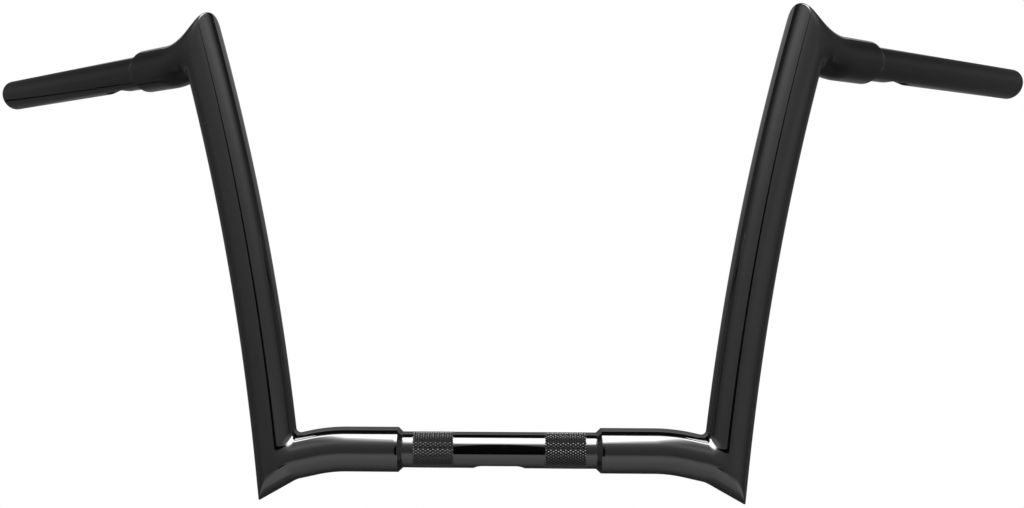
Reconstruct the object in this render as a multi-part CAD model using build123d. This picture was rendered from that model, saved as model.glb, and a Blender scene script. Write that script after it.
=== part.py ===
from build123d import *

import math
import os

# Ape hanger handlebar: tall welded bars of bent and mitred tube.
# The origin is the middle of the clamp section. +X runs to the rider's left, +Y back
# towards the rider and +Z up along the uprights. Lengths are millimetres, angles degrees.

# Tube stock
MAIN_DIAMETER = 31.75
SMALL_DIAMETER = 25.4
SMALL_WALL = 3.0
SPIGOT_CLEARANCE = 0.25
BEVEL_LAND = 0.4

# Clamp section, between the two shoulders, with its knurled bands and wiring slot
CLAMP_LENGTH = 135.0
CLAMP_BEVEL_RUN = 3.3
KNURL_SPACING = 92.0
KNURL_WIDTH = 27.5
KNURL_RISE = 0.15
CLAMP_SLOT_LENGTH = 35.0
CLAMP_SLOT_WIDTH = 11.0

# Lower bends, from the clamp shoulder out to the pointed lower corner
LOWER_STRAIGHT = 40.0
LOWER_BEND_RADIUS = 110.0
LOWER_BEND_ANGLE = 12.5
LOWER_RUN = 13.0
CORNER_BEND_RADIUS = 32.0
CORNER_BEND_ANGLE = 17.0
CORNER_RUN = 4.5

# Uprights, which lean outward more towards the top
UPRIGHT_LENGTH = 310.5
FOOT_LEAN = 6.75
TOP_LEAN = 15.75

# Pull-back tubes, in an upright plane that points back and outward
PULLBACK_AZIMUTH = 48.0
PULLBACK_DROP = 25.5
PULLBACK_BEND_RADIUS = 73.0
PULLBACK_RUN = 41.5

# Grip tubes, with a wiring slot underneath near the shoulder, turned towards the rider
GRIP_RISE = 7.0
GRIP_LENGTH = 227.0
GRIP_BEVEL_RUN = 6.5
GRIP_SLOT_LENGTH = 34.0
GRIP_SLOT_WIDTH = 12.5
GRIP_SLOT_FROM_SHOULDER = 40.0
GRIP_SLOT_TURN = 20.0
GRIP_END_CHAMFER = 0.8

# How far each spigot stops short of the bend in front of it
SPIGOT_SETBACK = 9.5
# How far a tube runs past its mitre before it is cut
MITRE_ALLOWANCE = 6.0

MAIN_R = MAIN_DIAMETER / 2
SMALL_R = SMALL_DIAMETER / 2
SMALL_BORE_R = SMALL_R - SMALL_WALL
SPIGOT_R = SMALL_R - SPIGOT_CLEARANCE
BEVEL_DEPTH = MAIN_R - SMALL_R - BEVEL_LAND

BAR_PLANE = Plane.XZ


class Walk:
    """A tube's centreline in one plane: straight runs and tangent arcs, one after the other."""

    def __init__(self, plane, start, heading):
        self.plane = plane
        self.place = Vector(start)
        self.heading = heading
        self.edges = []

    def aim(self, turn=0.0):
        angle = math.radians(self.heading + turn)
        return Vector(math.cos(angle), math.sin(angle))

    def line(self, length):
        end = self.place + self.aim() * length
        self.edges.append(Line(self.world(self.place), self.world(end)))
        self.place = end
        return self

    def lead_in(self, length):
        """A straight run that ends where the walk stands."""
        self.place = self.place - self.aim() * length
        return self.line(length)

    def arc(self, radius, turn):
        side = 90.0 if turn > 0 else -90.0
        centre = self.place + self.aim(side) * radius
        middle = centre - self.aim(side + turn / 2) * radius
        end = centre - self.aim(side + turn) * radius
        self.edges.append(ThreePointArc(self.world(self.place), self.world(middle), self.world(end)))
        self.place = end
        self.heading += turn
        return self

    def world(self, point):
        return self.plane.from_local_coords(point)

    def point(self):
        return self.world(self.place)

    def direction(self):
        return self.world(self.place + self.aim()) - self.world(self.place)


def main_tube(walk):
    """A main tube along a walked centreline. Its bore is the size of the small tube."""
    path = Wire([edge.edge() for edge in walk.edges])
    start = Plane(origin=path @ 0, z_dir=path % 0)
    return sweep(start * (Circle(MAIN_R) - Circle(SMALL_R)), path=path)


def mitre(corner, arriving, leaving):
    """The plane that halves a corner, facing the way that the tube leaves."""
    return Plane(origin=corner, z_dir=(arriving + leaving).normalized())


def overrun(arriving, leaving):
    """How far a tube reaches past a mitred corner on its long side."""
    return MAIN_R * math.tan(math.radians(arriving.get_angle(leaving) / 2)) + MITRE_ALLOWANCE


def end_rim(body, centre, radius):
    """The circle of a given radius around the end of a tube."""
    rims = body.edges().filter_by(GeomType.CIRCLE)
    rims = [rim for rim in rims if abs(rim.radius - radius) < 1e-6]
    return [rim for rim in rims if (rim.arc_center - centre).length < 1e-3]


def bevel_end(body, centre, run):
    """Tapers a main tube's end down to a narrow land around the tube inside it."""
    face = body.faces().filter_by(GeomType.PLANE).sort_by_distance(centre)[0]
    return chamfer(end_rim(body, centre, MAIN_R), BEVEL_DEPTH, run, reference=face)


def slot(place, along, outward, length, width):
    """A round-ended cutter that leaves a tube's axis through one side of its wall."""
    face = Plane(origin=place, x_dir=along, z_dir=outward) * SlotOverall(length, width)
    return extrude(face, amount=SMALL_DIAMETER)


# Clamp tube: knurled bands stand a little proud of it, and its spigots slip into the lower bends
SHOULDER_X = CLAMP_LENGTH / 2
SPIGOT_X = SHOULDER_X + LOWER_STRAIGHT - SPIGOT_SETBACK

clamp_tube = Plane.YZ * Cylinder(SMALL_R, CLAMP_LENGTH) + Plane.YZ * Cylinder(SPIGOT_R, 2 * SPIGOT_X)
for side in (-1, 1):
    middle = Plane.YZ.offset(side * KNURL_SPACING / 2)
    clamp_tube += middle * Cylinder(SMALL_R + KNURL_RISE, KNURL_WIDTH)
clamp_tube -= Plane.YZ * Cylinder(SMALL_BORE_R, 2 * SPIGOT_X)
clamp_tube -= slot((0, 0, 0), (1, 0, 0), (0, 0, -1), CLAMP_SLOT_LENGTH, CLAMP_SLOT_WIDTH)

# Lower bend: straight beside the clamp, then down to the corner
shoulder = Vector(SHOULDER_X, 0, 0)
lower_walk = Walk(BAR_PLANE, (SHOULDER_X, 0), 0.0)
lower_walk.line(LOWER_STRAIGHT).arc(LOWER_BEND_RADIUS, -LOWER_BEND_ANGLE).line(LOWER_RUN)
lower_walk.arc(CORNER_BEND_RADIUS, -CORNER_BEND_ANGLE).line(CORNER_RUN)
lower_corner = lower_walk.point()
lower_arrives = lower_walk.direction()

# Upright: one long arc from the lower corner to the upper one
upright_walk = Walk(BAR_PLANE, BAR_PLANE.to_local_coords(lower_corner), 90.0 - FOOT_LEAN)
upright_leaves = upright_walk.direction()
foot_overrun = overrun(lower_arrives, upright_leaves)
upright_walk.lead_in(foot_overrun)
upright_walk.arc(UPRIGHT_LENGTH / math.radians(TOP_LEAN - FOOT_LEAN), FOOT_LEAN - TOP_LEAN)
upper_corner = upright_walk.point()
upright_arrives = upright_walk.direction()

# Pull-back tube: drops away from the upper corner, then bends up to the grip's line
back = Vector(math.sin(math.radians(PULLBACK_AZIMUTH)), math.cos(math.radians(PULLBACK_AZIMUTH)), 0)
pullback_plane = Plane(origin=upper_corner, x_dir=back, z_dir=back.cross(Vector(0, 0, 1)))
pullback_walk = Walk(pullback_plane, (0, 0), -PULLBACK_DROP)
pullback_leaves = pullback_walk.direction()
top_overrun = overrun(upright_arrives, pullback_leaves)
pullback_walk.lead_in(top_overrun)
pullback_walk.arc(PULLBACK_BEND_RADIUS, PULLBACK_DROP + GRIP_RISE).line(PULLBACK_RUN)
grip_shoulder = pullback_walk.point()
grip_aim = pullback_walk.direction()

lower_walk.line(foot_overrun)
upright_walk.line(top_overrun)
lower_mitre = mitre(lower_corner, lower_arrives, upright_leaves)
upper_mitre = mitre(upper_corner, upright_arrives, pullback_leaves)

lower_bend = main_tube(lower_walk)
lower_bend = split(lower_bend, bisect_by=lower_mitre, keep=Keep.BOTTOM)
lower_bend = bevel_end(lower_bend, shoulder, CLAMP_BEVEL_RUN)

upright = main_tube(upright_walk)
upright = split(upright, bisect_by=lower_mitre, keep=Keep.TOP)
upright = split(upright, bisect_by=upper_mitre, keep=Keep.BOTTOM)

pullback_tube = main_tube(pullback_walk)
pullback_tube = split(pullback_tube, bisect_by=upper_mitre, keep=Keep.TOP)
pullback_tube = bevel_end(pullback_tube, grip_shoulder, GRIP_BEVEL_RUN)

# Grip tube: its spigot slips into the pull-back tube, and its outer end is open
grip_spigot = PULLBACK_RUN - SPIGOT_SETBACK
grip_start = Plane(origin=grip_shoulder, x_dir=pullback_plane.z_dir, z_dir=grip_aim)
grip_tube = extrude(grip_start * Circle(SMALL_R), amount=GRIP_LENGTH)
grip_end = grip_shoulder + grip_aim * GRIP_LENGTH
grip_tube = chamfer(end_rim(grip_tube, grip_end, SMALL_R), GRIP_END_CHAMFER)
grip_tube += extrude(grip_start * Circle(SPIGOT_R), amount=-grip_spigot)
grip_tube -= extrude(grip_start.offset(-grip_spigot) * Circle(SMALL_BORE_R), amount=grip_spigot + GRIP_LENGTH)
slot_turn = math.radians(GRIP_SLOT_TURN)
grip_under = grip_aim.cross(pullback_plane.z_dir) * math.cos(slot_turn)
grip_under = grip_under - pullback_plane.z_dir * math.sin(slot_turn)
grip_slot_place = grip_shoulder + grip_aim * GRIP_SLOT_FROM_SHOULDER
grip_tube -= slot(grip_slot_place, grip_aim, grip_under, GRIP_SLOT_LENGTH, GRIP_SLOT_WIDTH)

# The left half is modelled; the right half is its mirror image
nodes = {"clamp_tube": clamp_tube}
half = {
    "lower_bend": lower_bend,
    "upright": upright,
    "pullback_tube": pullback_tube,
    "grip_tube": grip_tube,
}
for name, body in half.items():
    nodes["left_" + name] = body
    nodes["right_" + name] = mirror(body, about=Plane.YZ)

os.makedirs("parts", exist_ok=True)
for name, body in nodes.items():
    export_step(body, f"parts/{name}.step")
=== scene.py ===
import math

import bmesh
import bpy
import numpy as np
from mathutils import Matrix, Vector


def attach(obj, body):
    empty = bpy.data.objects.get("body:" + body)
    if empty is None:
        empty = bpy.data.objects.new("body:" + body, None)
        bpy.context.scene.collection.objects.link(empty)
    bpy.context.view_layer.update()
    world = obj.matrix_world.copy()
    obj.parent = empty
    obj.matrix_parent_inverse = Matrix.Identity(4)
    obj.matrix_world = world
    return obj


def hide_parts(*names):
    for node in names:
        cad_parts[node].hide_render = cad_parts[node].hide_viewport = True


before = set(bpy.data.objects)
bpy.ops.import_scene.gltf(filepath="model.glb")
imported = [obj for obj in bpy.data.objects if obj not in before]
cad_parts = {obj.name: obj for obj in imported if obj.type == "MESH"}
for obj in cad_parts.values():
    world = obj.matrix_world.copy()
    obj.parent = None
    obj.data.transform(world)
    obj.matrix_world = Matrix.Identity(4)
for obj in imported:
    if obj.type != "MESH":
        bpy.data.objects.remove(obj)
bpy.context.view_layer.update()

scene = bpy.context.scene

# Ape hanger handlebar in the photograph's studio. The origin is the middle of the clamp section.
# +X runs to the rider's left, +Y back towards the rider and +Z up. The bar's sizes are millimetres
# and degrees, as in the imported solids; those of the camera and the studio are metres and degrees.
MM = 0.001

# Tube stock
MAIN_R = 15.875
SMALL_R = 12.7
SPIGOT_R = 12.45
SMALL_BORE_R = 9.7

# Clamp section, with the length and width of its slot
SHOULDER_X = 67.5
CLAMP_SPIGOT = 30.5
CLAMP_SLOT = (35.0, 11.0)

# Knurled bands: pitch along the bar, mesh steps to a pitch and to a band's width, points around
KNURL_CENTRE = 46.0
KNURL_PITCH = 3.4
KNURL_CELLS = 8
KNURL_STEPS = 66
KNURL_COUNT = 40
KNURL_HALF = KNURL_STEPS * (KNURL_PITCH / KNURL_CELLS) / 2
# A height in the knurl is 1 on its points and 0 halfway between two of them. KNURL_RISE is how far
# the points stand proud, KNURL_DEPTH how deep a height of 0 lies under them, and KNURL_GROOVE the
# height of the grooves' floor.
KNURL_RISE = 0.15
KNURL_DEPTH = 0.5
KNURL_GROOVE = -0.15
# How far in from a band's edge the knurl reaches its whole height
KNURL_FADE = 0.5

# Centrelines: a leg is (length, 0) for a straight run or (radius, turn) for an arc
LOWER_LEGS = ((40.0, 0.0), (110.0, -12.5), (13.0, 0.0), (32.0, -17.0), (4.5, 0.0))
FOOT_LEAN = 6.75
TOP_LEAN = 15.75
UPRIGHT_LENGTH = 310.5
PULLBACK_AZIMUTH = 48.0
PULLBACK_DROP = 25.5
GRIP_RISE = 7.0
PULLBACK_LEGS = ((73.0, PULLBACK_DROP + GRIP_RISE), (41.5, 0.0))

# Grip tubes, with the length and width of their slots
GRIP_LENGTH = 227.0
GRIP_SPIGOT = 32.0
GRIP_SLOT = (34.0, 12.5)
GRIP_SLOT_FROM_SHOULDER = 40.0
GRIP_SLOT_TURN = 20.0
# Roundings of the open end and of its bore, the lead-in to each, and the radius where they meet
END_ROUND = 0.9
BORE_ROUND = 0.5
END_LEAD = 2.0
END_FACE_R = SMALL_BORE_R + 1.2

# Ground welds at the corners: how far they reach along the tubes outside, at the side and inside
LOWER_TRIMS = (0.7, 8.0, 4.0)
UPPER_TRIMS = (1.6, 15.0, 3.0)

# Tapered ends at the shoulders: length, and the roundings of foot and edge
CLAMP_BEVEL_RUN = 3.3
CLAMP_BEVEL_ROUNDS = (0.5, 0.7)
GRIP_BEVEL_RUN = 6.5
GRIP_BEVEL_ROUNDS = (0.8, 2.0)
# The weld's toe starts outside the shoulder, just under the small tube's surface. It ends inside the
# shoulder, and as far above that surface.
TOE_LENGTH = 1.2
TOE_END = 0.05
TOE_LIFT = 0.02
# How far a bevel's profile runs on over the main tube
BEVEL_LEAD = 3.0

# Slots: rounding of the outer lip, a margin around it, and the smaller break of the inner edge
LIP = 0.6
LIP_MARGIN = 0.15
BORE_LIP = 0.3
# How far from the slot the rings of the tube stop, and where loops lie from there to the lip's margin
SLOT_PATCH = 2.6
PATCH_SHARES = (0.3, 0.6, 0.85, 1.0)

# Mesh steps of a frame: around its tubes, and along lower bend, upright, pull-back tube and weld
AROUND = 144
OUTER_RINGS = (64, 110, 56, 15)
INNER_RINGS = (24, 30, 24, 7)
# Mesh steps of the small tubes
GRIP_AROUND = 160
PLAIN_STEPS = 6
SLOT_STEPS = 42
CLAMP_BORE_STEPS = 21
CLAMP_SPIGOT_STEPS = 3
GRIP_SPIGOT_STEPS = 4
GRIP_OUTER_STEPS = 24
GRIP_INNER_STEPS = 12
# Mesh steps of roundings: in general, at a grip's open end and on a slot's lip
ROUND_STEPS = 5
END_STEPS = 7
LIP_STEPS = 6
# Plain rings stop this far from a slot's middle, and finer ones start after a gap
SLOT_ROOM = 22.0
SLOT_GAP = 1.0
# Gap between the rings of a knurled band and the plain ones
KNURL_GAP = 0.4
# Plain rings stop this far from a grip's open end
END_ROOM = 3.0
# Where a small tube's step down to its spigot starts and ends, past the shoulder
STEP_START = 0.5
STEP_END = 0.6

# Search for where two generators come closest: reach, samples, rounds and how it narrows
SEARCH_REACH = 36.0
SEARCH_SAMPLES = 145
SEARCH_ROUNDS = 3
SEARCH_NARROWING = 0.06
# Tolerances for comparing places along a tube
BAND_TOLERANCE = 1e-6
SAME_PLACE = 1e-9

X_AXIS = np.array([1.0, 0.0, 0.0])
Z_AXIS = np.array([0.0, 0.0, 1.0])


class Walk:
    """A tube's centreline in one plane, which runs on straight past both of its ends."""

    def __init__(self, origin, across, up, heading, legs):
        self.origin = np.array(origin, float)
        self.across = np.array(across, float)
        self.up = np.array(up, float)
        self.normal = np.cross(self.across, self.up)
        self.legs = []
        place = np.zeros(2)
        heading = math.radians(heading)
        start = 0.0
        for size, turn in legs:
            turn = math.radians(turn)
            length = size * abs(turn) if turn else size
            bend = turn / length
            self.legs.append((start, length, place, heading, bend))
            places, headings = self.step(place, heading, bend, np.array([length]))
            place = places[0]
            heading = float(headings[0])
            start += length
        self.legs.append((start, math.inf, place, heading, 0.0))
        self.length = start

    @staticmethod
    def step(place, heading, bend, s):
        """Places and headings at the lengths s along one leg."""
        angle = heading + bend * s
        if bend == 0.0:
            ahead = np.stack([np.cos(angle), np.sin(angle)], -1) * s[..., None]
            return place + ahead, angle
        x = (np.sin(angle) - math.sin(heading)) / bend
        y = (math.cos(heading) - np.cos(angle)) / bend
        return place + np.stack([x, y], -1), angle

    def at(self, s):
        """Points, tangents and in-plane normals at the lengths s."""
        s = np.asarray(s, float)
        place = np.zeros(s.shape + (2,))
        angle = np.zeros(s.shape)
        for start, length, origin, heading, bend in self.legs:
            here = (s >= start) & (s < start + length)
            if start == 0.0:
                before = s < 0.0
                place[before], angle[before] = self.step(origin, heading, 0.0, s[before])
            place[here], angle[here] = self.step(origin, heading, bend, s[here] - start)
        axes = np.stack([self.across, self.up])
        point = self.origin + place @ axes
        tangent = np.stack([np.cos(angle), np.sin(angle)], -1) @ axes
        normal = np.stack([-np.sin(angle), np.cos(angle)], -1) @ axes
        return point, tangent, normal

    def surface(self, s, angle, radius):
        """Points of the tube's surface, and its direction there."""
        point, tangent, normal = self.at(s)
        radial = np.cos(angle)[..., None] * normal + np.sin(angle)[..., None] * self.normal
        return point + np.asarray(radius)[..., None] * radial, tangent


def unit(vector):
    return vector / np.linalg.norm(vector)


# Centrelines of the left half, from the clamp's shoulder to the grip's
lower = Walk((SHOULDER_X, 0, 0), X_AXIS, Z_AXIS, 0.0, LOWER_LEGS)
lower_corner = lower.at(lower.length)[0]
upright_radius = UPRIGHT_LENGTH / math.radians(TOP_LEAN - FOOT_LEAN)
upright_legs = ((upright_radius, FOOT_LEAN - TOP_LEAN),)
upright = Walk(lower_corner, X_AXIS, Z_AXIS, 90.0 - FOOT_LEAN, upright_legs)
upper_corner = upright.at(upright.length)[0]
azimuth = math.radians(PULLBACK_AZIMUTH)
back = np.array([math.sin(azimuth), math.cos(azimuth), 0.0])
pullback = Walk(upper_corner, back, Z_AXIS, -PULLBACK_DROP, PULLBACK_LEGS)
grip_shoulder, grip_aim, grip_up = pullback.at(pullback.length)


def end_spokes(walk, angles):
    """Unit radii of a tube's generators at its far end."""
    normal = walk.at(walk.length)[2]
    return np.cos(angles)[:, None] * normal + np.sin(angles)[:, None] * walk.normal


def carried_angles(angles, first, second):
    """The same generators of the tube behind a mitre: their radii mirrored in the mitre's plane."""
    arriving = first.at(first.length)[1]
    _, leaving, next_normal = second.at(0.0)
    across = unit(arriving + leaving)
    radial = end_spokes(first, angles)
    radial = radial - 2 * (radial @ across)[:, None] * across
    return np.arctan2(radial @ second.normal, radial @ next_normal)


def crook_side(angles, first, second):
    """1 on the inside of the corner, -1 on the outside, for each generator."""
    arriving = first.at(first.length)[1]
    leaving = second.at(0.0)[1]
    side = end_spokes(first, angles) @ unit(leaving - arriving)
    return side / np.abs(side).max()


def meeting(first, second, angle, next_angle, radius):
    """Lengths along two generators where they come closest at a corner."""
    leave = first.length
    join = 0.0
    reach = SEARCH_REACH
    sized = np.full(SEARCH_SAMPLES, radius)
    for _ in range(SEARCH_ROUNDS):
        leave_tries = np.linspace(leave - reach, leave + reach, SEARCH_SAMPLES)
        join_tries = np.linspace(join - reach, join + reach, SEARCH_SAMPLES)
        leave_points = first.surface(leave_tries, np.full(SEARCH_SAMPLES, angle), sized)[0]
        join_points = second.surface(join_tries, np.full(SEARCH_SAMPLES, next_angle), sized)[0]
        gap = ((leave_points[:, None] - join_points[None]) ** 2).sum(-1)
        i, j = np.unravel_index(gap.argmin(), gap.shape)
        leave = leave_tries[i]
        join = join_tries[j]
        reach *= SEARCH_NARROWING
    return leave, join


def corner(first, second, angles, next_angles, radius, trims):
    """Where each generator leaves a corner's weld on both sides, and the weld's curve between."""
    outside, side, inside = trims
    inward = crook_side(angles, first, second)
    ease = 0.5 - 0.5 * np.cos(np.pi * np.abs(inward))
    trim = side + (np.where(inward > 0, inside, outside) - side) * ease
    met = np.array([meeting(first, second, *pair, radius) for pair in zip(angles, next_angles)])
    leave = met[:, 0] - trim
    join = met[:, 1] + trim
    sized = np.full(len(angles), radius)
    start, start_aim = first.surface(leave, angles, sized)
    end, end_aim = second.surface(join, next_angles, sized)
    turn = np.arccos(np.clip((start_aim * end_aim).sum(-1), -1, 1))
    # Length of the handles with which a cubic comes nearest to an arc
    handle = (4 / 3 * np.tan(turn / 4) * trim / np.tan(turn / 2))[:, None]
    return leave, join, (start, start + start_aim * handle, end - end_aim * handle, end)


def weld(curve, steps):
    """Rings between the two ends of a corner's weld, without the ends. Its curve is a cubic."""
    share = np.linspace(0, 1, steps + 2)[1:-1, None, None]
    rest = 1 - share
    start, start_handle, end_handle, end = curve
    return (
        rest ** 3 * start
        + 3 * rest ** 2 * share * start_handle
        + 3 * rest * share ** 2 * end_handle
        + share ** 3 * end
    )


def stretch(walk, angles, radius, start, end, count):
    """Rings of one tube between two lengths that differ from generator to generator."""
    share = np.linspace(0, 1, count)[:, None]
    s = start + (end - start) * share
    return walk.surface(s, np.broadcast_to(angles, s.shape), np.full(s.shape, radius))[0]


def square_ring(walk, angles, radius, s):
    """One ring of a tube, square to its centreline."""
    return walk.surface(np.full(AROUND, s), angles, np.full(AROUND, radius))[0][None]


def rounded(points, radii, steps=ROUND_STEPS):
    """A line through 2-D points with its corners rounded."""
    points = [np.array(p, float) for p in points]
    out = [points[0]]
    for before, here, after, radius in zip(points, points[1:], points[2:], radii):
        to_before = unit(before - here)
        to_after = unit(after - here)
        half = math.acos(np.clip(to_before @ to_after, -1, 1)) / 2
        first = here + to_before * radius / math.tan(half)
        last = here + to_after * radius / math.tan(half)
        centre = here + unit(to_before + to_after) * radius / math.sin(half)
        for share in np.linspace(0, 1, steps):
            chord = first + (last - first) * share
            out.append(centre + unit(chord - centre) * radius)
    out.append(points[-1])
    return np.array(out)


def bevel(run, rounds):
    """Profile of a tube's tapered end: how far in from the shoulder, and the radius there."""
    points = [
        (-TOE_LENGTH, SMALL_R - TOE_LIFT),
        (TOE_END, SMALL_R + TOE_LIFT),
        (run, MAIN_R),
        (run + BEVEL_LEAD, MAIN_R),
    ]
    return rounded(points, rounds)


def bar_skin(radius, counts, first_bevel=(), last_bevel=()):
    """Rings of one continuous skin: lower bend, upright and pull-back tube."""
    low_count, up_count, back_count, weld_count = counts
    angles = np.arange(AROUND) * (2 * np.pi / AROUND)
    up_angles = carried_angles(angles, lower, upright)
    back_angles = carried_angles(up_angles, upright, pullback)
    low_leave, low_join, low_curve = corner(lower, upright, angles, up_angles, radius, LOWER_TRIMS)
    top_leave, top_join, top_curve = corner(upright, pullback, up_angles, back_angles, radius, UPPER_TRIMS)
    start = first_bevel[-1][0] if len(first_bevel) else 0.0
    end = pullback.length - (last_bevel[0][0] if len(last_bevel) else 0.0)
    rings = [square_ring(lower, angles, r, s) for s, r in first_bevel[:-1]]
    rings.append(stretch(lower, angles, radius, start, low_leave, low_count))
    rings.append(weld(low_curve, weld_count))
    rings.append(stretch(upright, up_angles, radius, low_join, top_leave, up_count))
    rings.append(weld(top_curve, weld_count))
    rings.append(stretch(pullback, back_angles, radius, top_join, end, back_count))
    rings += [square_ring(pullback, back_angles, r, pullback.length - s) for s, r in last_bevel[1:]]
    return np.concatenate(rings)


def closed_rings(ring_count, around):
    """Faces of a tube whose last ring closes on its first."""
    faces = []
    for i in range(ring_count):
        here = i * around
        ahead = (i + 1) % ring_count * around
        for j in range(around):
            k = (j + 1) % around
            faces.append((here + j, here + k, ahead + k, ahead + j))
    return faces


def face_outward(mesh):
    """Points every face of a closed mesh outward."""
    work = bmesh.new()
    work.from_mesh(mesh)
    bmesh.ops.recalc_face_normals(work, faces=work.faces)
    work.to_mesh(mesh)
    work.free()


def make_mesh(name, verts, faces, material, mirrored=False):
    """A smooth piece from points in millimetres, mirrored for the right half."""
    verts = np.asarray(verts, float) * MM
    if mirrored:
        verts = verts * (-1, 1, 1)
        faces = [face[::-1] for face in faces]
    mesh = bpy.data.meshes.new(name)
    mesh.from_pydata(verts.tolist(), [], faces)
    mesh.validate()
    mesh.shade_smooth()
    mesh.materials.append(material)
    face_outward(mesh)
    piece = bpy.data.objects.new(name, mesh)
    scene.collection.objects.link(piece)
    return piece


def add_knurl(xs, radius, centre):
    """Raises one band's diamond points in a grid of radii along and around a tube."""
    away = np.abs(xs - centre)
    band = away <= KNURL_HALF + BAND_TOLERANCE
    along = (xs[band, None] - centre) / KNURL_PITCH
    around = np.arange(radius.shape[1])[None] / KNURL_CELLS
    # The points lie where two families of diagonals cross
    rising = along + around
    falling = along - around
    height = 1 - 4 * ((rising - np.round(rising)) ** 2 + (falling - np.round(falling)) ** 2)
    height = np.maximum(height, KNURL_GROOVE)
    share = np.clip((KNURL_HALF - away[band, None]) / KNURL_FADE, 0, 1)
    radius[band] += (KNURL_RISE - KNURL_DEPTH * (1 - height)) * share


class SlottedTube:
    """Mesh of a tube along X with a round-ended slot through its lower wall.

    outside and inside are profiles of (x, radius), the slot is (middle, length, width), and
    bands are the middles of knurled bands on the outside.
    """

    def __init__(self, outside, inside, around, slot, bands=()):
        self.around = around
        self.middle, self.slot_length, self.slot_width = slot
        patch_angle = math.asin((self.slot_width / 2 + SLOT_PATCH) / SMALL_BORE_R)
        self.patch_steps = int(round(patch_angle / (2 * np.pi / around)))
        self.verts = []
        self.faces = []
        self.knurl_faces = set()
        outer, outer_border = self.wall(outside, bands)
        inner, inner_border = self.wall(inside, ())
        self.ribbon(outer[0], inner[0])
        self.ribbon(outer[-1], inner[-1])
        self.stitch(self.slot_edge(outer_border), inner_border)

    def wall(self, profile, bands):
        """Adds one wall with a gap for the slot. Returns its grid of points and the gap's border."""
        xs = np.array([x for x, _ in profile])
        radius = np.repeat(np.array([r for _, r in profile])[:, None], self.around, 1)
        for centre in bands:
            add_knurl(xs, radius, centre)
        grid = len(self.verts) + np.arange(radius.size).reshape(radius.shape)
        angle = np.arange(self.around) * (2 * np.pi / self.around)
        for x, r in zip(xs, radius):
            self.verts.extend(np.stack([np.full(self.around, x), r * np.sin(angle), -r * np.cos(angle)], -1))
        reach = self.slot_length / 2 + SLOT_PATCH
        ends = [int(np.abs(xs - (self.middle + side * reach)).argmin()) for side in (-1, 1)]
        self.wall_faces(xs, grid, ends, bands)
        return grid, self.gap_border(grid, ends)

    def wall_faces(self, xs, grid, ends, bands):
        """Adds a wall's faces, apart from those in the gap between two rings."""
        first, last = ends
        for i in range(len(xs) - 1):
            x = (xs[i] + xs[i + 1]) / 2
            knurled = any(abs(x - centre) < KNURL_HALF for centre in bands)
            for j in range(self.around):
                near_slot = j < self.patch_steps or j >= self.around - self.patch_steps
                if near_slot and first <= i < last:
                    continue
                if knurled:
                    self.knurl_faces.add(len(self.faces))
                k = (j + 1) % self.around
                self.faces.append((grid[i, j], grid[i, k], grid[i + 1, k], grid[i + 1, j]))

    def gap_border(self, grid, ends):
        """The points around a wall's gap, one after the other."""
        first, last = ends
        span = [j % self.around for j in range(-self.patch_steps, self.patch_steps + 1)]
        border = [grid[first, j] for j in span]
        border += [grid[i, span[-1]] for i in range(first + 1, last)]
        border += [grid[last, j] for j in reversed(span)]
        border += [grid[i, span[0]] for i in range(last - 1, first, -1)]
        return border

    def ribbon(self, one, two):
        """Adds the faces between two closed loops with the same count of points."""
        for j in range(len(one)):
            k = (j + 1) % len(one)
            self.faces.append((one[j], one[k], two[k], two[j]))

    def slot_points(self, border, radius, outset, lift, share=1.0):
        """Points a share of the way from a border to the slot's outline, on a tube of that radius.

        The outline is moved out by the outset, and the points towards the axis by the lift.
        """
        spine = (self.slot_length - self.slot_width) / 2
        points = []
        for v in border:
            x, y, _ = self.verts[v]
            nearest = min(max(x, self.middle - spine), self.middle + spine)
            away = unit(np.array([x - nearest, y]))
            rim = np.array([nearest, 0.0]) + away * (self.slot_width / 2 + outset)
            flat = np.array([x, y]) * (1 - share) + rim * share
            points.append(np.array([flat[0], flat[1], lift - math.sqrt(radius ** 2 - flat[1] ** 2)]))
        return points

    def slot_edge(self, border):
        """Adds the slot's lip and wall, from the outer border inward. Returns the last loop."""
        rows = [self.slot_points(border, SMALL_R, LIP + LIP_MARGIN, 0.0, share) for share in PATCH_SHARES]
        for turn in np.linspace(0, math.pi / 2, LIP_STEPS):
            outset = LIP * (1 - math.sin(turn))
            lift = LIP * (1 - math.cos(turn))
            rows.append(self.slot_points(border, SMALL_R, outset, lift))
        rows.append(self.slot_points(border, SMALL_BORE_R, 0.0, -BORE_LIP))
        rows.append(self.slot_points(border, SMALL_BORE_R, BORE_LIP, 0.0))
        loops = [border]
        for points in rows:
            loops.append(list(range(len(self.verts), len(self.verts) + len(points))))
            self.verts.extend(points)
        for one, two in zip(loops, loops[1:]):
            self.ribbon(one, two)
        return loops[-1]

    def heading(self, v):
        """Direction of a point from the slot's middle, seen along the slot's axis."""
        x, y, _ = self.verts[v]
        return math.atan2(y, x - self.middle) % (2 * math.pi)

    def stitch(self, one, two):
        """Adds triangles between two loops whose points differ in count, matched by direction."""
        one = sorted(one, key=self.heading)
        two = sorted(two, key=self.heading)
        i = 0
        j = 0
        while i < len(one) or j < len(two):
            here = one[i % len(one)]
            there = two[j % len(two)]
            one_heading = self.heading(here) if i < len(one) else math.inf
            two_heading = self.heading(there) if j < len(two) else math.inf
            if one_heading <= two_heading:
                i += 1
                self.faces.append((here, one[i % len(one)], there))
            else:
                j += 1
                self.faces.append((here, two[j % len(two)], there))


def stations(*pieces):
    """Profile points without repeats. Each piece is (x start, x end, steps, radius)."""
    out = []
    for start, end, steps, radius in pieces:
        for x in np.linspace(start, end, steps + 1):
            if not out or not np.allclose(out[-1], (x, radius), rtol=0, atol=SAME_PLACE):
                out.append((x, radius))
    return out


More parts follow.
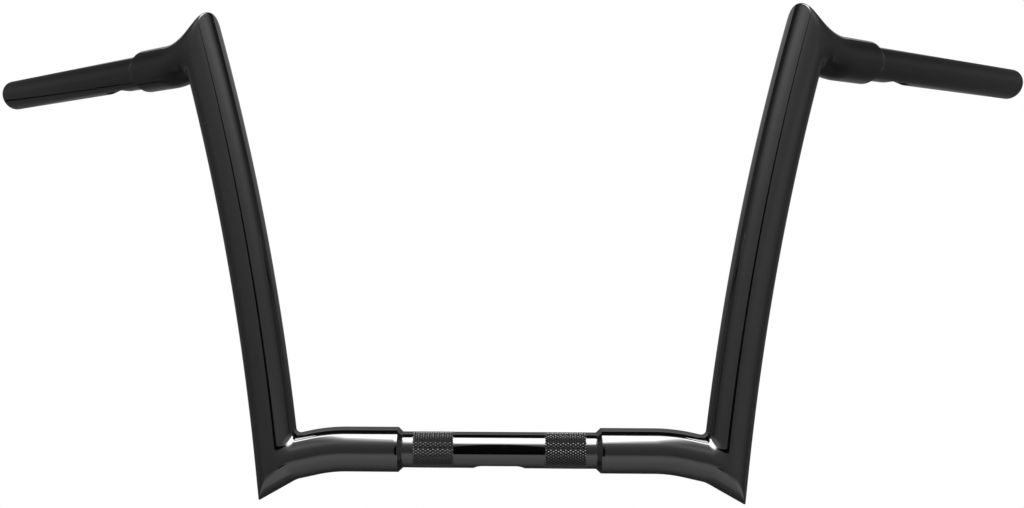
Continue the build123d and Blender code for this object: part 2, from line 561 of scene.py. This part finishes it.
# Helpers for shader nodes
def feed(tree, target, inputs):
    """Links outputs to a node's sockets, and sets plain values on the sockets themselves."""
    for socket, value in inputs.items():
        if isinstance(value, bpy.types.NodeSocket):
            tree.links.new(value, target.inputs[socket])
        else:
            target.inputs[socket].default_value = value


def node(tree, kind, inputs=None, **settings):
    """A new node with its settings, and what goes into its sockets."""
    made = tree.nodes.new(kind)
    for key, value in settings.items():
        setattr(made, key, value)
    feed(tree, made, inputs or {})
    return made


def maths(tree, operation, *terms, clamp=False):
    """The result of a maths node, whose terms are outputs or numbers."""
    made = node(tree, "ShaderNodeMath", dict(enumerate(terms)), operation=operation, use_clamp=clamp)
    return made.outputs[0]


def map_range(tree, value, source, target, kind="LINEAR"):
    """A value brought from the source range to the target range, and kept within it."""
    inputs = {
        "Value": value,
        "From Min": source[0],
        "From Max": source[1],
        "To Min": target[0],
        "To Max": target[1],
    }
    return node(tree, "ShaderNodeMapRange", inputs, interpolation_type=kind).outputs["Result"]


def ramp(tree, value, stops):
    """A colour ramp through stops of position and colour."""
    made = node(tree, "ShaderNodeValToRGB", {"Fac": value})
    elements = made.color_ramp.elements
    while len(elements) < len(stops):
        elements.new(1.0)
    for element, (position, colour) in zip(elements, stops):
        element.position = position
        element.color = colour
    return made.outputs["Color"]


def grey(level):
    return (level, level, level, 1)


# Gloss black finish: one noise for polish and tint, and a finer one for the orange peel
CLOUD_SCALE = 38.0
CLOUD_DETAIL = 4.0
POLISH_SPAN = (0.3, 0.7)
TINTS = ((0.35, (0.0020, 0.0020, 0.0022, 1)), (0.65, (0.0034, 0.0034, 0.0036, 1)))
PEEL_SCALE = 420.0
PEEL_DETAIL = 2.0
PEEL_DISTANCE = 0.00002
PAINT_IOR = 2.0
COAT_WEIGHT = 1.0
COAT_ROUGHNESS = 0.03
# Roughness, how far it varies, and strength of the orange peel
PLAIN_FINISH = (0.055, 0.015, 0.10)
KNURL_FINISH = (0.06, 0.02, 0.02)
# Gloss of the knurl's points, and the share of it that the grooves keep, which paints shade into the grooves
POINT_GLOSS = {"Specular IOR Level": 0.42, "Coat Weight": 0.84}
GROOVE_SHADE_GLOSS = 0.06
# Heights in the knurl below which it has the least gloss, as painted shade, and above which it has its whole
# gloss
GROOVE_SHADE_BELOW = 0.05
BRIGHT_ABOVE = 0.5


def gloss_black(name, roughness, spread, peel):
    """Black gloss finish over steel: faint orange peel, and slightly uneven polish."""
    material = bpy.data.materials.new(name)
    material.use_nodes = True
    tree = material.node_tree
    place = node(tree, "ShaderNodeTexCoord").outputs["Object"]
    coarse = {"Vector": place, "Scale": CLOUD_SCALE, "Detail": CLOUD_DETAIL}
    cloud = node(tree, "ShaderNodeTexNoise", coarse).outputs["Fac"]
    fine = {"Vector": place, "Scale": PEEL_SCALE, "Detail": PEEL_DETAIL}
    grain = node(tree, "ShaderNodeTexNoise", fine).outputs["Fac"]
    bump = node(tree, "ShaderNodeBump", {"Strength": peel, "Distance": PEEL_DISTANCE, "Height": grain})
    feed(tree, tree.nodes["Principled BSDF"], {
        "Base Color": ramp(tree, cloud, TINTS),
        "Roughness": map_range(tree, cloud, POLISH_SPAN, (roughness - spread, roughness + spread)),
        "IOR": PAINT_IOR,
        "Coat Weight": COAT_WEIGHT,
        "Coat Roughness": COAT_ROUGHNESS,
        "Normal": bump.outputs["Normal"],
    })
    return material


def knurl_radius(height):
    """Radius of the knurl, in metres, at a height in it."""
    return (SMALL_R + KNURL_RISE - KNURL_DEPTH * (1 - height)) * MM


def painted_groove_shade(material):
    """Painted shade: takes most of the gloss out of the knurl's grooves, so that they render darker as if
    shaded.
    """
    tree = material.node_tree
    place = node(tree, "ShaderNodeTexCoord").outputs["Object"]
    spoke = node(tree, "ShaderNodeVectorMath", {0: place, 1: (0, 1, 1)}, operation="MULTIPLY")
    radius = node(tree, "ShaderNodeVectorMath", {0: spoke.outputs["Vector"]}, operation="LENGTH")
    heights = (knurl_radius(GROOVE_SHADE_BELOW), knurl_radius(BRIGHT_ABOVE))
    for socket, full in POINT_GLOSS.items():
        gloss = map_range(tree, radius.outputs["Value"], heights, (full * GROOVE_SHADE_GLOSS, full), "SMOOTHSTEP")
        feed(tree, tree.nodes["Principled BSDF"], {socket: gloss})


paint = gloss_black("gloss_black", *PLAIN_FINISH)
knurl_paint = gloss_black("gloss_black_knurl", *KNURL_FINISH)
# Painted shade in the knurl's grooves: less gloss the deeper they lie
painted_groove_shade(knurl_paint)

# Frames: the lower bend, upright and pull-back tube of each side, with their ground welds
clamp_bevel = bevel(CLAMP_BEVEL_RUN, CLAMP_BEVEL_ROUNDS)
grip_bevel = bevel(GRIP_BEVEL_RUN, GRIP_BEVEL_ROUNDS)[::-1]
outer = bar_skin(MAIN_R, OUTER_RINGS, clamp_bevel, grip_bevel)
inner = bar_skin(SMALL_R, INNER_RINGS)[::-1]
rings = np.concatenate([outer, inner])
frame_faces = closed_rings(len(rings), AROUND)
frame_verts = rings.reshape(-1, 3)
for side, mirrored in (("left", False), ("right", True)):
    piece = make_mesh(side + "_frame", frame_verts, frame_faces, paint, mirrored)
    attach(piece, "root")
    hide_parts(side + "_lower_bend", side + "_upright", side + "_pullback_tube")

# Clamp section: knurled where the risers grip it, with its spigots inside the lower bends
knurl_start = KNURL_CENTRE - KNURL_HALF
knurl_end = KNURL_CENTRE + KNURL_HALF
clamp_end = SHOULDER_X + CLAMP_SPIGOT
fine_half = SLOT_ROOM - SLOT_GAP
left_half = [
    (SLOT_ROOM, knurl_start - KNURL_GAP, PLAIN_STEPS, SMALL_R),
    (knurl_start, knurl_end, KNURL_STEPS, SMALL_R),
    (knurl_end + KNURL_GAP, SHOULDER_X + STEP_START, PLAIN_STEPS, SMALL_R),
    (SHOULDER_X + STEP_END, clamp_end, CLAMP_SPIGOT_STEPS, SPIGOT_R),
]
right_half = [(-end, -start, steps, radius) for start, end, steps, radius in reversed(left_half)]
outside = stations(*right_half, (-fine_half, fine_half, SLOT_STEPS, SMALL_R), *left_half)
inside = stations(
    (-clamp_end, -SLOT_ROOM, PLAIN_STEPS, SMALL_BORE_R),
    (-fine_half, fine_half, CLAMP_BORE_STEPS, SMALL_BORE_R),
    (SLOT_ROOM, clamp_end, PLAIN_STEPS, SMALL_BORE_R),
)
clamp_around = KNURL_COUNT * KNURL_CELLS
tube = SlottedTube(outside, inside, clamp_around, (0.0,) + CLAMP_SLOT, (-KNURL_CENTRE, KNURL_CENTRE))
clamp = make_mesh("clamp_section", tube.verts, tube.faces, paint)
clamp.data.materials.append(knurl_paint)
for index in tube.knurl_faces:
    clamp.data.polygons[index].material_index = 1
    clamp.data.polygons[index].use_smooth = False
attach(clamp, "root")
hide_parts("clamp_tube")

# Grip tubes: open ends, a wiring slot underneath, and spigots inside the pull-back tubes
end_middle = (GRIP_LENGTH, END_FACE_R)
end_corner = [(GRIP_LENGTH - END_LEAD, SMALL_R), (GRIP_LENGTH, SMALL_R), end_middle]
bore_corner = [end_middle, (GRIP_LENGTH, SMALL_BORE_R), (GRIP_LENGTH - END_LEAD, SMALL_BORE_R)]
end_round = rounded(end_corner, (END_ROUND,), END_STEPS)
bore_round = rounded(bore_corner, (BORE_ROUND,))
slot_start = GRIP_SLOT_FROM_SHOULDER - SLOT_ROOM
slot_end = GRIP_SLOT_FROM_SHOULDER + SLOT_ROOM
outside = stations(
    (-GRIP_SPIGOT, -STEP_END, GRIP_SPIGOT_STEPS, SPIGOT_R),
    (-STEP_START, slot_start, PLAIN_STEPS, SMALL_R),
    (slot_start + SLOT_GAP, slot_end - SLOT_GAP, SLOT_STEPS, SMALL_R),
    (slot_end, GRIP_LENGTH - END_ROOM, GRIP_OUTER_STEPS, SMALL_R),
) + [tuple(p) for p in end_round]
inside = stations(
    (-GRIP_SPIGOT, slot_start, PLAIN_STEPS, SMALL_BORE_R),
    (slot_start + SLOT_GAP, slot_end - SLOT_GAP, SLOT_STEPS, SMALL_BORE_R),
    (slot_end, GRIP_LENGTH - END_ROOM, GRIP_INNER_STEPS, SMALL_BORE_R),
) + [tuple(p) for p in bore_round[::-1]]
tube = SlottedTube(outside, inside, GRIP_AROUND, (GRIP_SLOT_FROM_SHOULDER,) + GRIP_SLOT)
slot_turn = math.radians(GRIP_SLOT_TURN)
slot_up = math.cos(slot_turn) * grip_up - math.sin(slot_turn) * np.cross(grip_up, grip_aim)
slot_side = np.cross(slot_up, grip_aim)
grip_verts = grip_shoulder + np.array(tube.verts) @ np.stack([grip_aim, slot_side, slot_up])
for side, mirrored in (("left", False), ("right", True)):
    piece = make_mesh(side + "_grip", grip_verts, tube.faces, paint, mirrored)
    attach(piece, "root")
    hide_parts(side + "_grip_tube")

# Camera: the photograph's view, cropped to the bar, so its middle is off the lens axis
CAMERA_PLACE = (0.000032, -0.825396, 0.011501)
CAMERA_YAW = -3.411
CAMERA_PITCH = 4.515
CAMERA_ROLL = 0.346
SENSOR_WIDTH_MM = 36.0
LENS_MM = 41.0625
LENS_SHIFT = (0.0802, 0.0849)
CLIP_START = 0.05


def make_camera():
    yaw, pitch, roll = (math.radians(a) for a in (CAMERA_YAW, CAMERA_PITCH, CAMERA_ROLL))
    ahead = Vector((math.sin(yaw) * math.cos(pitch), math.cos(yaw) * math.cos(pitch), math.sin(pitch)))
    right = ahead.cross(Vector((0, 0, 1))).normalized()
    up = right.cross(ahead)
    camera_x = right * math.cos(roll) + up * math.sin(roll)
    camera_y = up * math.cos(roll) - right * math.sin(roll)
    data = bpy.data.cameras.new("camera")
    data.sensor_width = SENSOR_WIDTH_MM
    data.sensor_fit = "HORIZONTAL"
    data.lens = LENS_MM
    data.shift_x, data.shift_y = LENS_SHIFT
    data.clip_start = CLIP_START
    camera = bpy.data.objects.new("camera", data)
    scene.collection.objects.link(camera)
    turned = Matrix((camera_x, camera_y, -ahead)).transposed().to_4x4()
    camera.matrix_world = Matrix.Translation(CAMERA_PLACE) @ turned
    return camera


scene.camera = make_camera()
scene.view_settings.view_transform = "Standard"

# Studio: an overhead softbox and strip, a lit backdrop, a dark card behind the lens, a dark stand
# at the side and a pale floor. Only the floor shows to the camera.
SOFTBOX_Z = 1.90
SOFTBOX_HALF = 1.20
SOFTBOX_MIDDLE = 0.063
SOFTBOX_RADIANCE = 7.0
# Front and back edge, and where the softbox has come to its whole radiance
SOFTBOX_FRONT = -2.70
SOFTBOX_FULL = -1.70
SOFTBOX_BACK = -0.26
# How the softbox fades to its sides: metres from its middle line, and the share of its radiance
SOFTBOX_FADE = ((0.0, 1.0), (0.235, 1.0), (0.345, 0.43), (0.52, 0.10), (0.80, 0.0))
# How much wider it is to each side at its back edge than where it has come to its whole radiance
SOFTBOX_SPREAD = 0.39
# The strip hangs just under the softbox's back edge
STRIP_HALF = 0.97
STRIP_DEPTH = 0.26
STRIP_DROP = 0.01
STRIP_RADIANCE = 6.5
BACKDROP_Y = 0.45
BACKDROP_HALF = 0.53
BACKDROP_TOP = 1.00
# Radiance of the backdrop up to the height of the clamp and at its top
BACKDROP_RADIANCE = (0.04, 0.46)
FLAG_Y = -1.30
# Outline of the dark card: half its width, and the height there
FLAG_OUTLINE = ((0.14, -0.70), (0.14, 0.10), (0.025, 0.97))
STAND_Y = 0.63
# The dark stand: x and height of its two ends
STAND_ENDS = ((-0.74, -0.25), (-1.33, 0.115))
STAND_WIDTH = 0.12
DARK_LEVEL = 0.002
FLOOR_Z = -0.30
FLOOR_CENTRE_Y = 1.15
FLOOR_RADIUS = 2.0
FLOOR_SIDES = 128
FLOOR_LEVEL = 0.85


def card(name, corners):
    """A flat studio card with an empty material."""
    mesh = bpy.data.meshes.new(name)
    mesh.from_pydata(corners, [], [tuple(range(len(corners)))])
    material = bpy.data.materials.new(name)
    material.use_nodes = True
    material.node_tree.nodes.clear()
    mesh.materials.append(material)
    piece = bpy.data.objects.new(name, mesh)
    scene.collection.objects.link(piece)
    return piece, material.node_tree


def level_card(name, half, y, z):
    """A horizontal card between two values of y."""
    return card(name, [(-half, y[0], z), (-half, y[1], z), (half, y[1], z), (half, y[0], z)])


def surface(tree, shader):
    """Puts a shader on a card's surface."""
    node(tree, "ShaderNodeOutputMaterial", {"Surface": shader.outputs[0]})


def matt_card(name, corners, level):
    """A card of one matt grey."""
    piece, tree = card(name, corners)
    surface(tree, node(tree, "ShaderNodeBsdfDiffuse", {"Color": grey(level)}))
    return piece


def position(tree):
    """Outputs X, Y and Z of the place on a card."""
    place = node(tree, "ShaderNodeTexCoord").outputs["Object"]
    return node(tree, "ShaderNodeSeparateXYZ", {"Vector": place}).outputs


def make_softbox():
    """Brightest along its middle line, and fading to the sides and to the front."""
    piece, tree = level_card("softbox", SOFTBOX_HALF, (SOFTBOX_FRONT, SOFTBOX_BACK), SOFTBOX_Z)
    place = position(tree)
    aside = maths(tree, "ABSOLUTE", maths(tree, "SUBTRACT", place["X"], SOFTBOX_MIDDLE))
    spread = map_range(tree, place["Y"], (SOFTBOX_FULL, SOFTBOX_BACK), (0.0, SOFTBOX_SPREAD))
    beyond = maths(tree, "SUBTRACT", aside, spread, clamp=True)
    fade = ramp(tree, beyond, [(metres, grey(share)) for metres, share in SOFTBOX_FADE])
    front = map_range(tree, place["Y"], (SOFTBOX_FRONT, SOFTBOX_FULL), (0.0, SOFTBOX_RADIANCE))
    glow = node(tree, "ShaderNodeEmission", {"Color": fade, "Strength": front})
    clear = node(tree, "ShaderNodeBsdfTransparent")
    surface(tree, node(tree, "ShaderNodeAddShader", {0: glow.outputs[0], 1: clear.outputs[0]}))
    return piece


def make_strip():
    front = SOFTBOX_BACK - STRIP_DEPTH
    piece, tree = level_card("strip", STRIP_HALF, (front, SOFTBOX_BACK), SOFTBOX_Z - STRIP_DROP)
    surface(tree, node(tree, "ShaderNodeEmission", {"Strength": STRIP_RADIANCE}))
    return piece


def make_backdrop():
    """A lit sheet behind the bar, brighter towards its top."""
    half = BACKDROP_HALF
    y = BACKDROP_Y
    top = BACKDROP_TOP
    piece, tree = card("backdrop", [(-half, y, FLOOR_Z), (half, y, FLOOR_Z), (half, y, top), (-half, y, top)])
    rise = map_range(tree, position(tree)["Z"], (0.0, BACKDROP_TOP), BACKDROP_RADIANCE)
    surface(tree, node(tree, "ShaderNodeEmission", {"Strength": rise}))
    return piece


def make_flag():
    """A dark card behind the lens, narrower towards its top."""
    corners = [(half, FLAG_Y, z) for half, z in FLAG_OUTLINE]
    corners += [(-half, FLAG_Y, z) for half, z in reversed(FLAG_OUTLINE)]
    return matt_card("flag", corners, DARK_LEVEL)


def make_stand():
    """A dark stand beside the bar, which the right grip shows as a thin line."""
    (low_x, low_z), (high_x, high_z) = STAND_ENDS
    corners = [(low_x, STAND_Y, low_z), (low_x - STAND_WIDTH, STAND_Y, low_z)]
    corners += [(high_x - STAND_WIDTH, STAND_Y, high_z), (high_x, STAND_Y, high_z)]
    return matt_card("stand", corners, DARK_LEVEL)


def make_floor():
    """A pale disc that the finish doesn't reflect."""
    corners = []
    for angle in np.linspace(0, 2 * math.pi, FLOOR_SIDES, endpoint=False):
        x = FLOOR_RADIUS * math.cos(angle)
        y = FLOOR_CENTRE_Y + FLOOR_RADIUS * math.sin(angle)
        corners.append((x, y, FLOOR_Z))
    piece = matt_card("floor", corners, FLOOR_LEVEL)
    piece.visible_glossy = False


softbox = make_softbox()
strip = make_strip()
backdrop = make_backdrop()
flag = make_flag()
stand = make_stand()
for piece in (softbox, strip, backdrop, flag, stand):
    piece.visible_camera = False
    piece.visible_shadow = False
for piece in (backdrop, flag, stand):
    piece.visible_diffuse = False
make_floor()

# World: white behind the bar, and a dim studio for what the finish reflects
# Elevation in degrees and radiance there, on the lens side and on the far side
LENS_SIDE = (
    (-90, 0.27), (-65, 0.35), (-45, 0.445), (-32, 0.455), (-24, 0.30), (-18, 0.145), (0, 0.165), (10, 0.20),
    (18, 0.23), (26, 0.34), (34, 0.54), (45, 0.43), (60, 0.38), (75, 0.23), (84, 0.08), (90, 0.0),
)
FAR_SIDE = (
    (-90, 0.27), (-75, 0.175), (-65, 0.115), (-55, 0.07), (-45, 0.042), (-30, 0.046), (-12, 0.08), (0, 0.085),
    (15, 0.10), (24, 0.085), (34, 0.045), (60, 0.02), (75, 0.0),
)
# Radiance that the ramps' white stands for
ROOM_TOP = 0.6
# Y of a level heading where the far side starts to give way to the lens side, and where it has
LENS_TURN = (0.25, -0.65)
# The lens side is brighter towards +X by a gain that grows between two values of a direction's X
GAIN = 1.30
GAIN_X = (0.10, 0.45)
# Elevations between which that gain fades away
GAIN_FADE = (5, 11)


def room_ramp(tree, height, table):
    """Radiance by height, which runs from 0 straight down to 1 straight up."""
    stops = [((angle + 90) / 180, grey(radiance / ROOM_TOP)) for angle, radiance in table]
    return ramp(tree, height, stops)


def make_room(tree):
    """The studio's colour in each direction, as a share of ROOM_TOP."""
    place = node(tree, "ShaderNodeTexCoord").outputs["Generated"]
    aim = node(tree, "ShaderNodeSeparateXYZ", {"Vector": place}).outputs
    height = map_range(tree, maths(tree, "ARCSINE", aim["Z"]), (-math.pi / 2, math.pi / 2), (0.0, 1.0))
    level = node(tree, "ShaderNodeCombineXYZ", {"X": aim["X"], "Y": aim["Y"]})
    heading = node(tree, "ShaderNodeVectorMath", {0: level.outputs[0]}, operation="NORMALIZE")
    toward = node(tree, "ShaderNodeSeparateXYZ", {0: heading.outputs[0]}).outputs
    lens_share = map_range(tree, toward["Y"], LENS_TURN, (0.0, 1.0), "SMOOTHSTEP")
    fade_span = [math.sin(math.radians(angle)) for angle in GAIN_FADE]
    most = map_range(tree, aim["Z"], fade_span, (GAIN, 1.0), "SMOOTHSTEP")
    gain = map_range(tree, aim["X"], GAIN_X, (1.0, most), "SMOOTHSTEP")
    lens_ramp = room_ramp(tree, height, LENS_SIDE)
    lens_side = node(tree, "ShaderNodeVectorMath", {0: lens_ramp, "Scale": gain}, operation="SCALE")
    # Sockets 6 and 7 of a mix node are its two colours, and its third output is their mixture
    sides = {"Factor": lens_share, 6: room_ramp(tree, height, FAR_SIDE), 7: lens_side.outputs["Vector"]}
    return node(tree, "ShaderNodeMix", sides, data_type="RGBA").outputs[2]


def make_world():
    world = bpy.data.worlds.new("studio")
    world.use_nodes = True
    tree = world.node_tree
    tree.nodes.clear()
    studio = node(tree, "ShaderNodeBackground", {"Color": make_room(tree), "Strength": ROOM_TOP})
    white = node(tree, "ShaderNodeBackground", {"Color": grey(1)})
    camera_ray = node(tree, "ShaderNodeLightPath").outputs["Is Camera Ray"]
    mix = node(tree, "ShaderNodeMixShader", {0: camera_ray, 1: studio.outputs[0], 2: white.outputs[0]})
    node(tree, "ShaderNodeOutputWorld", {"Surface": mix.outputs[0]})
    return world


scene.world = make_world()
